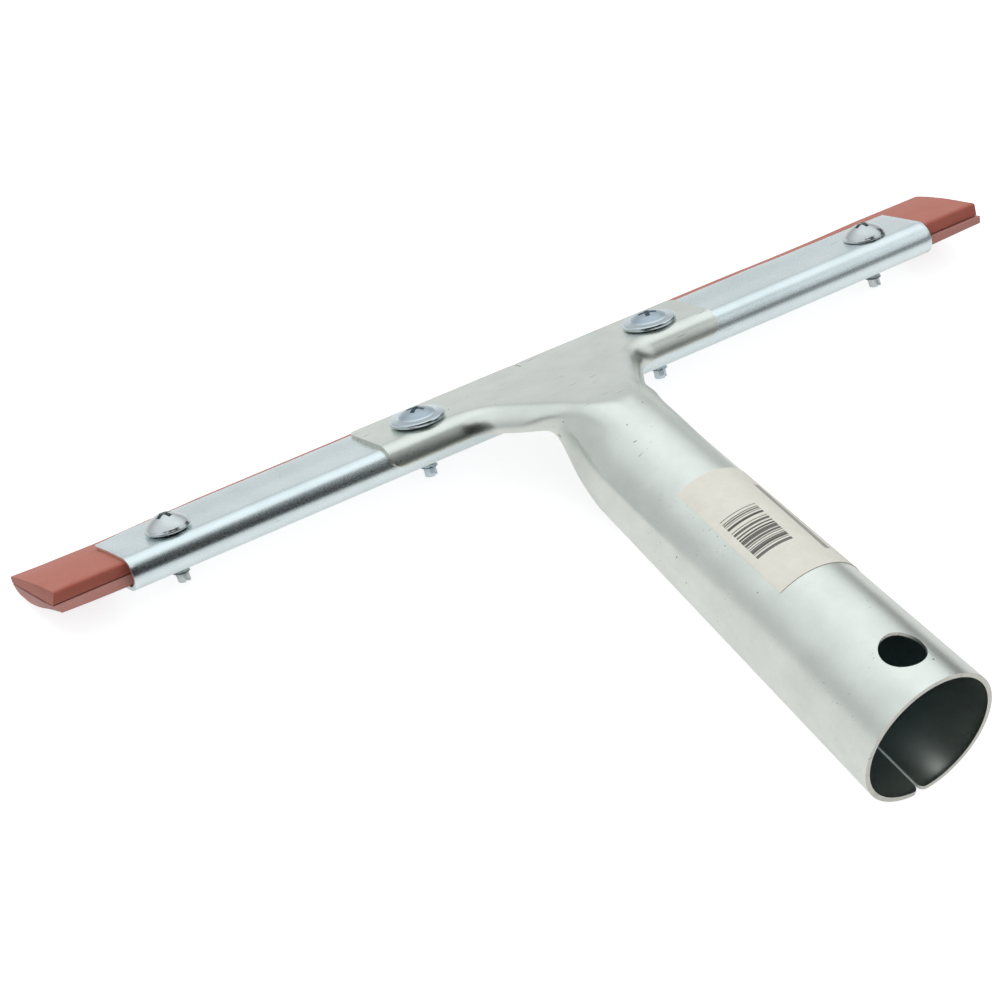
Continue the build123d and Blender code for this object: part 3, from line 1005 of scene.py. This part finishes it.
def half_section(head, seat, lift):
    """A screw's half section as a line of points, (radius, 0, height), from its top down to its
    foot. The cone under its head is drawn longer by the lift that the placed screw gets."""
    rim, wall, foot, low = head["rim"], head["wall"], head["steps"][0], head["rise"][0]
    line = [(radius, crown(head, radius)) for radius in [foot * k / 26 for k in range(25)]]
    if has_brim(head):
        # a low head: the dome's foot runs out into a brim whose edge is rolled
        line += [(foot + 0.16 * k, low + 0.19 * (1 - k / 2) ** 2 * (k < 2) - 0.022 * k) for k in (0, 1, 2)]
        inner, outer = foot + 0.32, rim - brim_edge
        high, top = low - 0.044, wall + brim_edge
        line += [(inner + (outer - foot - 0.32) * k / 5, high - (low - 0.044 - top) * k / 5) for k in range(1, 6)]
        line += [(outer + brim_edge * sin(turn), wall + brim_edge * cos(turn))
                 for turn in (0.3, 0.6, 0.9, 1.2, pi / 2)]
    else:
        # a full head: the crown ends in a steep chamfer round a short upright wall
        line += [(radius, crown(head, radius)) for radius in (rim - 0.34, rim - 0.27)]
        line += [(rim - 0.23, wall + 0.26), (rim - 0.06, wall - 0.12), (rim - 0.01, wall - 0.17),
                 (rim, wall - 0.22)]
    # under the rim a cone runs in to the seat
    line += [(rim, 0.25), (rim - 0.02, 0.18), (rim - 0.10, 0.12), (rim - 0.75, 0.02 - lift * 0.9),
             (rim - 0.9, -lift), (shank, -lift)]
    # a plain shank inside the channel, then the thread
    thread_top = -channel_height - seat + 0.6
    thread_end = screw_foot + stub_long - seat
    line += [(shank, -1.0), (shank, thread_top)]
    line += [(thread_root, thread_top + (thread_end - thread_top) * k / thread_rows)
             for k in range(1, thread_rows + 1)]
    # the thread's end, and the narrower stub with a chamfered foot
    low = screw_foot - seat
    line += [(thread_root - 0.15, thread_end - 0.08), (stub + 0.12, thread_end - 0.14),
             (stub, thread_end - 0.22), (stub, low + 0.9), (stub, low + 0.17), (stub - 0.05, low + 0.06),
             (stub - 0.16, low), (0, low)]
    mesh = bpy.data.meshes.new("half_section")
    mesh.from_pydata([(r, 0, z) for r, z in line], [(i, i + 1) for i in range(len(line) - 1)], [])
    return mesh


# Shapes of the cuts in a screw: shares of the recess's span, and millimetres
wing_foot_share = 0.60
middle_top_share = 0.21
middle_foot_share = 0.12
middle_deeper = 0.25
recess_over = 0.4
thread_steep = 2.4
notch_long = 4.0
notch_inset = 0.4
notch_turn = -60


def screw_maker():
    """The tree that turns a half section into a cross-recessed screw with its thread and notch."""
    tree = bpy.data.node_groups.new("cross_recessed_screw", "GeometryNodeTree")
    asked = tree.interface
    asked.new_socket(name="Screw", in_out="OUTPUT", socket_type="NodeSocketGeometry")
    asked.new_socket(name="Half Section", in_out="INPUT", socket_type="NodeSocketGeometry")
    for name, value in {"Top": 3.4, "Recess Span": 4.6, "Recess Slot": 1.15, "Recess Depth": 1.7,
                        "Recess Turn": 0.0, "Thread Pitch": 1.0, "Thread Depth": 0.28,
                        "Thread Start": -7.0, "Thread End": -9.7, "Foot": -11.3, "Notch Width": 0.85,
                        "Notch Depth": 0.7, "Notch Turn": 0.0, "Lean Start": -7.2}.items():
        asked.new_socket(name=name, in_out="INPUT", socket_type="NodeSocketFloat").default_value = value
    asked.new_socket(name="Around", in_out="INPUT", socket_type="NodeSocketInt").default_value = 96
    for name in ("Lean", "Place"):
        asked.new_socket(name=name, in_out="INPUT", socket_type="NodeSocketVector")
    asked.new_socket(name="Finish", in_out="INPUT", socket_type="NodeSocketMaterial")
    given = add(tree, "NodeGroupInput").outputs

    # turn the half section: one column of points for each step round the axis
    rows = add(tree, "GeometryNodeAttributeDomainSize", [given["Half Section"]], component="MESH").outputs[0]
    columns = add(tree, "ShaderNodeMath", (given["Around"], 1), operation="ADD").outputs[0]
    grid = add(tree, "GeometryNodeMeshGrid", {"Vertices X": columns, "Vertices Y": rows}).outputs["Mesh"]
    number = add(tree, "GeometryNodeInputIndex").outputs[0]
    row = add(tree, "ShaderNodeMath", (number, rows), operation="MODULO").outputs[0]
    column = add(tree, "ShaderNodeMath", (number, rows), operation="DIVIDE").outputs[0]
    column = add(tree, "ShaderNodeMath", [column], operation="FLOOR").outputs[0]
    share = add(tree, "ShaderNodeMath", (column, given["Around"]), operation="DIVIDE").outputs[0]
    share = add(tree, "ShaderNodeMath", (share, 1.0), operation="MODULO").outputs[0]
    turn = add(tree, "ShaderNodeMath", (share, 2 * pi), operation="MULTIPLY").outputs[0]
    drawn = add(tree, "GeometryNodeInputPosition").outputs[0]
    point = add(tree, "GeometryNodeSampleIndex", {"Geometry": given["Half Section"], "Index": row},
                data_type="FLOAT_VECTOR", domain="POINT")
    tree.links.new(drawn, [socket for socket in point.inputs if socket.name == "Value" and socket.enabled][0])
    sampled = [socket for socket in point.outputs if socket.enabled][0]
    radius, _, height = add(tree, "ShaderNodeSeparateXYZ", [sampled]).outputs

    # thread: a vee that winds down the shank, and runs out at its end
    wound = add(tree, "ShaderNodeMath", (height, given["Thread Pitch"]), operation="DIVIDE").outputs[0]
    wound = add(tree, "ShaderNodeMath", (wound, share), operation="ADD").outputs[0]
    vee = add(tree, "ShaderNodeMath", (wound, 1.0), operation="FLOORED_MODULO").outputs[0]
    vee = add(tree, "ShaderNodeMath", (vee, 0.5), operation="SUBTRACT").outputs[0]
    vee = add(tree, "ShaderNodeMath", [vee], operation="ABSOLUTE").outputs[0]
    vee = add(tree, "ShaderNodeMath", (vee, thread_steep), operation="MULTIPLY").outputs[0]
    starts = add(tree, "ShaderNodeMath", (height, given["Thread Start"]), operation="LESS_THAN").outputs[0]
    ends = add(tree, "ShaderNodeMath", (height, given["Thread End"]), operation="GREATER_THAN").outputs[0]
    depth = add(tree, "ShaderNodeMath", (vee, 1.0), operation="MINIMUM").outputs[0]
    depth = add(tree, "ShaderNodeMath", (depth, given["Thread Depth"]), operation="MULTIPLY").outputs[0]
    threaded = add(tree, "ShaderNodeMath", (starts, ends), operation="MULTIPLY").outputs[0]
    depth = add(tree, "ShaderNodeMath", (depth, threaded), operation="MULTIPLY").outputs[0]
    radius = add(tree, "ShaderNodeMath", (radius, depth), operation="SUBTRACT").outputs[0]

    # the tip leans a little, more and more below the channel
    below = add(tree, "ShaderNodeMath", (given["Lean Start"], height), operation="SUBTRACT").outputs[0]
    below = add(tree, "ShaderNodeMath", (below, 0), operation="MAXIMUM").outputs[0]
    lean = add(tree, "ShaderNodeVectorMath", {0: given["Lean"], "Scale": below}, operation="SCALE").outputs[0]
    sides = []
    for wave in ("COSINE", "SINE"):
        side = add(tree, "ShaderNodeMath", [turn], operation=wave).outputs[0]
        sides.append(add(tree, "ShaderNodeMath", (radius, side), operation="MULTIPLY").outputs[0])
    there = add(tree, "ShaderNodeCombineXYZ", (*sides, height)).outputs[0]
    there = add(tree, "ShaderNodeVectorMath", (there, lean), operation="ADD").outputs[0]
    solid = add(tree, "GeometryNodeSetPosition", {"Geometry": grid, "Position": there}).outputs[0]
    solid = add(tree, "GeometryNodeMergeByDistance", {"Geometry": solid, "Distance": 0.003}).outputs[0]

    # recess: two wings that taper to the floor, and a round middle that is a little deeper
    tall = add(tree, "ShaderNodeMath", (given["Recess Depth"], recess_over), operation="ADD").outputs[0]
    wide = add(tree, "ShaderNodeMath", (given["Recess Span"], sqrt(0.5)), operation="MULTIPLY").outputs[0]
    foot = add(tree, "ShaderNodeMath", (wide, wing_foot_share), operation="MULTIPLY").outputs[0]
    wing = add(tree, "GeometryNodeMeshCone", {"Vertices": 4, "Radius Top": wide, "Radius Bottom": foot,
                                              "Depth": tall}).outputs["Mesh"]
    wing = add(tree, "GeometryNodeTransform", {"Geometry": wing, "Rotation": (0, 0, pi / 4)}).outputs[0]
    slot = add(tree, "ShaderNodeMath", (given["Recess Slot"], given["Recess Span"]),
               operation="DIVIDE").outputs[0]
    narrow = add(tree, "ShaderNodeCombineXYZ", (1.0, slot, 1.0)).outputs[0]
    wing = add(tree, "GeometryNodeTransform", {"Geometry": wing, "Scale": narrow}).outputs[0]
    wide, foot = [add(tree, "ShaderNodeMath", (given["Recess Span"], part), operation="MULTIPLY").outputs[0]
                  for part in (middle_top_share, middle_foot_share)]
    tall = add(tree, "ShaderNodeMath", (tall, middle_deeper), operation="ADD").outputs[0]
    middle = add(tree, "GeometryNodeMeshCone", {"Vertices": 20, "Radius Top": wide, "Radius Bottom": foot,
                                                "Depth": tall}).outputs["Mesh"]
    middle = add(tree, "GeometryNodeTransform", {"Geometry": middle,
                                                 "Translation": (0, 0, -middle_deeper)}).outputs[0]
    floor = add(tree, "ShaderNodeMath", (given["Top"], given["Recess Depth"]), operation="SUBTRACT").outputs[0]
    floor = add(tree, "ShaderNodeCombineXYZ", {"Z": floor}).outputs[0]
    one_way = add(tree, "ShaderNodeCombineXYZ", {"Z": given["Recess Turn"]}).outputs[0]
    other_way = add(tree, "ShaderNodeMath", (given["Recess Turn"], pi / 2), operation="ADD").outputs[0]
    other_way = add(tree, "ShaderNodeCombineXYZ", {"Z": other_way}).outputs[0]
    cutters = []
    for shape, way in ((wing, one_way), (wing, other_way), (middle, one_way)):
        cutters.append(add(tree, "GeometryNodeTransform", {"Geometry": shape, "Translation": floor,
                                                           "Rotation": way}).outputs[0])

    # notch: cut up into the stub from its end, from the axis outwards
    high = add(tree, "ShaderNodeMath", (given["Notch Depth"], 2), operation="MULTIPLY").outputs[0]
    size = add(tree, "ShaderNodeCombineXYZ", (notch_long, given["Notch Width"], high)).outputs[0]
    notch = add(tree, "GeometryNodeMeshCube", {"Size": size}).outputs["Mesh"]
    notch = add(tree, "GeometryNodeTransform",
                {"Geometry": notch, "Translation": (notch_long / 2 + notch_inset, 0, 0)}).outputs[0]
    foot = add(tree, "ShaderNodeCombineXYZ", {"Z": given["Foot"]}).outputs[0]
    way = add(tree, "ShaderNodeCombineXYZ", {"Z": given["Notch Turn"]}).outputs[0]
    cutters.append(add(tree, "GeometryNodeTransform", {"Geometry": notch, "Translation": foot,
                                                       "Rotation": way}).outputs[0])
    cut_out = add(tree, "GeometryNodeMeshBoolean", [solid], operation="DIFFERENCE", solver="EXACT")
    for cutter in cutters:
        tree.links.new(cutter, cut_out.inputs["Mesh 2"])

    placed = add(tree, "GeometryNodeTransform", {"Geometry": cut_out.outputs["Mesh"],
                                                 "Translation": given["Place"]}).outputs[0]
    single = add(tree, "GeometryNodeRealizeInstances", [placed]).outputs[0]
    done = add(tree, "GeometryNodeSetMaterial", {"Geometry": single, "Material": given["Finish"]}).outputs[0]
    add(tree, "NodeGroupOutput", {"Screw": done})
    return tree


screw_tree = screw_maker()
sockets = {item.name: item.identifier for item in screw_tree.interface.items_tree
           if item.in_out == "INPUT"}


def screw(node, x, seat, head, turn, lean, finish, lift):
    """One screw: its half section through the tree, as one plain mesh on its own body. It turns
    by so many degrees, its tip leans along X, and its head stands a lift higher than in the CAD."""
    work = bpy.data.objects.new("work", half_section(head, seat, lift))
    scene.collection.objects.link(work)
    made = work.modifiers.new("made", "NODES")
    made.node_group = screw_tree
    thread_end = screw_foot + stub_long
    for name, value in {"Top": head["rise"][2], "Recess Turn": radians(turn),
                        "Thread Start": -channel_height - seat + 0.5, "Thread End": thread_end - seat + 0.05,
                        "Foot": screw_foot - seat, "Notch Turn": radians(notch_turn),
                        "Lean Start": -channel_height - seat, "Lean": (lean, 0.0, 0.0),
                        "Place": (x, screw_row, seat + lift), "Finish": finish}.items():
        made[sockets[name]] = value
    mesh = from_modifiers(work)
    for face in mesh.polygons:
        face.use_smooth = True
    mesh.set_sharp_from_angle(angle=radians(38))
    # the recess is painted darker, as painted shade in its hollow; the thread takes half that tone and a low
    # head's dome all of it
    bare_and_shade = mesh.attributes.new("bare_and_shade", "FLOAT", "POINT")
    for i, vert in enumerate(mesh.vertices):
        radius = (Vector((vert.co.x - x, vert.co.y - screw_row))).length
        height = vert.co.z - seat - lift
        dome = height > 1 and has_brim(head) and radius < head["steps"][0] + 0.1
        recess = height > 0 and radius < 2.5 and height < crown(head, radius) - 0.12
        thread = thread_end - 0.1 < vert.co.z < -channel_height
        bare_and_shade.data[i].value = 1 if dome or recess else 0.5 if thread else 0
    on_table(node + "_zinc", mesh, finish, node + "_body", node)


screw("outer_screw_left", -89.15, 0, truss, 22, 0.12, screw_zinc, 0.42)
screw("inner_screw_left", -29.7, bracket_sheet, brim, 38, 0.0, screw_blue_zinc, 0.3)
screw("inner_screw_right", 29.7, bracket_sheet, brim, 61, 0.0, screw_blue_zinc, 0.15)
screw("outer_screw_right", 89.15, 0, truss, 8, 0.12, screw_zinc, 0)


# Studio: lengths in metres

floor_half = 1.6
floor_height = -0.0002
cloth_away = 0.9
cloth_steps = 12


def set_up(name, grid, material):
    """A thing of the studio, through rows of points in metres."""
    made = bmesh.new()
    rows = [[made.verts.new(point) for point in row] for row in grid]
    for low, high in zip(rows, rows[1:]):
        for i in range(len(low) - 1):
            made.faces.new((low[i], low[i + 1], high[i + 1], high[i]))
    mesh = bpy.data.meshes.new(name)
    made.to_mesh(mesh)
    made.free()
    mesh.materials.append(material)
    thing = bpy.data.objects.new(name, mesh)
    scene.collection.objects.link(thing)
    return thing


def matt_grey(name, shade):
    """A new matt material of one grey, its node tree and its shader."""
    made, tree, shader = fresh_material(name)
    shader.inputs["Base Color"].default_value = grey(shade)
    shader.inputs["Roughness"].default_value = 1
    shader.inputs["Specular IOR Level"].default_value = 0
    return made, tree, shader


def white_paper():
    """White studio paper: the lamps light it part of the way, and rays that see it get the rest,
    so the object's shadow stays."""
    made, tree, shader = matt_grey("white_studio_paper", 0.45)
    shader.inputs["Emission Color"].default_value = grey(1)
    path = add(tree, "ShaderNodeLightPath").outputs
    seen_in_metal = add(tree, "ShaderNodeMath", (path["Is Glossy Ray"], path["Is Transmission Ray"]),
                        operation="MAXIMUM").outputs[0]
    # the paper right under the object glows brighter than the paper beside it, which glows
    # brighter than the paper far away
    place = add(tree, "ShaderNodeTexCoord").outputs["Object"]
    x, y, _ = add(tree, "ShaderNodeSeparateXYZ", [place]).outputs
    from_blade = add(tree, "ShaderNodeMath", (y, 0.055), operation="SUBTRACT").outputs[0]
    from_blade = add(tree, "ShaderNodeMath", [from_blade], operation="ABSOLUTE").outputs[0]
    from_socket = add(tree, "ShaderNodeMath", [x], operation="ABSOLUTE").outputs[0]
    beside = add(tree, "ShaderNodeMath", (from_blade, from_socket), operation="MINIMUM").outputs[0]
    near = add(tree, "ShaderNodeMapRange", {"Value": beside, "From Min": 0.014, "From Max": 0.042,
                                            "To Min": 1.0, "To Max": 0.80}).outputs[0]
    far = add(tree, "ShaderNodeVectorMath", [place], operation="LENGTH").outputs["Value"]
    glow = add(tree, "ShaderNodeMapRange", {"Value": far, "From Min": 0.14, "From Max": 0.36,
                                            "To Min": 0.49, "To Max": 0.36}).outputs[0]
    glow = add(tree, "ShaderNodeMath", (glow, near), operation="MULTIPLY").outputs[0]
    glow = add(tree, "ShaderNodeMath", (seen_in_metal, glow), operation="MULTIPLY").outputs[0]
    lift = add(tree, "ShaderNodeMath", (path["Is Camera Ray"], 0.77, glow), operation="MULTIPLY_ADD")
    tree.links.new(lift.outputs[0], shader.inputs["Emission Strength"])
    return made


def studio_sky():
    """Soft light that is even overhead, with a brighter window beyond the blade's lip, and falls
    off to a dimmer horizon. It is white where the camera sees it."""
    world = bpy.data.worlds.new("studio_sky")
    world.use_nodes = True
    tree = world.node_tree
    tree.nodes.clear()
    way = add(tree, "ShaderNodeTexCoord").outputs["Generated"]
    height = add(tree, "ShaderNodeSeparateXYZ", [way]).outputs[2]
    even = add(tree, "ShaderNodeValToRGB", [height], [(place, grey(level)) for place, level in (
        (0.0, 0.55), (1, 0.95), (0.30, 0.66), (0.54, 0.86), (0.80, 0.97))]).outputs[0]
    # the window's middle is 33 degrees right of +Y and 45 degrees up, and it fades out over 40 degrees
    near = add(tree, "ShaderNodeVectorMath", (way, (0.385, 0.593, 0.707)),
               operation="DOT_PRODUCT").outputs["Value"]
    window = add(tree, "ShaderNodeMapRange", {"Value": near, "From Min": 0.76, "From Max": 0.96,
                                              "To Max": 0.17}, interpolation_type="SMOOTHSTEP").outputs[0]
    light = add(tree, "ShaderNodeMixRGB", (1, even, window), blend_type="ADD").outputs[0]
    light = add(tree, "ShaderNodeMixRGB", (1, light, (0.95, 1.0, 1.03, 1)), blend_type="MULTIPLY").outputs[0]
    path = add(tree, "ShaderNodeLightPath").outputs
    sky = add(tree, "ShaderNodeMixRGB", (path["Is Camera Ray"], light, grey(1))).outputs[0]
    back = add(tree, "ShaderNodeBackground", {"Color": sky, "Strength": 1})
    add(tree, "ShaderNodeOutputWorld", {"Surface": back.outputs[0]})
    scene.world = world


def cloth(name, low, high, shade):
    """A cloth between a low and a high edge. Each edge is two bearings, from +Y through +X, and a
    height, all in degrees. The metal mirrors the cloth, and the camera doesn't see it."""
    grid = []
    for i in range(cloth_steps + 1):
        first, last, rise = [under + (over - under) * i / cloth_steps for under, over in zip(low, high)]
        turns = [radians(first + (last - first) * k / cloth_steps) for k in range(cloth_steps + 1)]
        flat = cloth_away * cos(radians(rise))
        height = cloth_away * sin(radians(rise))
        grid.append([(flat * sin(turn), flat * cos(turn), height) for turn in turns])
    hung = set_up(name, grid, matt_grey(name, shade)[0])
    hung.visible_camera = False
    hung.visible_diffuse = False


floor_places = (-floor_half, 0, floor_half)
set_up("studio_floor", [[(x, y, floor_height) for x in floor_places] for y in floor_places], white_paper())
cloth("black_cloth", (152, 238, 11), (122, 240, 74), 0.03)
cloth("dark_cloth", (238, 264, 8), (240, 262, 58), 0.22)
cloth("high_cloth", (84, 136, 57), (84, 136, 80), 0.62)
cloth("grey_cloth", (60, 110, 3), (60, 110, 25), 0.12)
cloth("pale_cloth", (110, 150, 0), (110, 150, 25), 0.42)
studio_sky()

key_data = bpy.data.lights.new("soft_key", "AREA")
key_data.shape = "SQUARE"
key_data.size = 0.9
key_data.energy = 3.6
key = bpy.data.objects.new("soft_key", key_data)
key.location = (-0.35, 0.75, 1.0)
key.rotation_euler = key.location.to_track_quat("Z", "Y").to_euler()
key.visible_camera = False
key.visible_glossy = False
scene.collection.objects.link(key)


# Bring the scene up to date

bpy.context.view_layer.update()
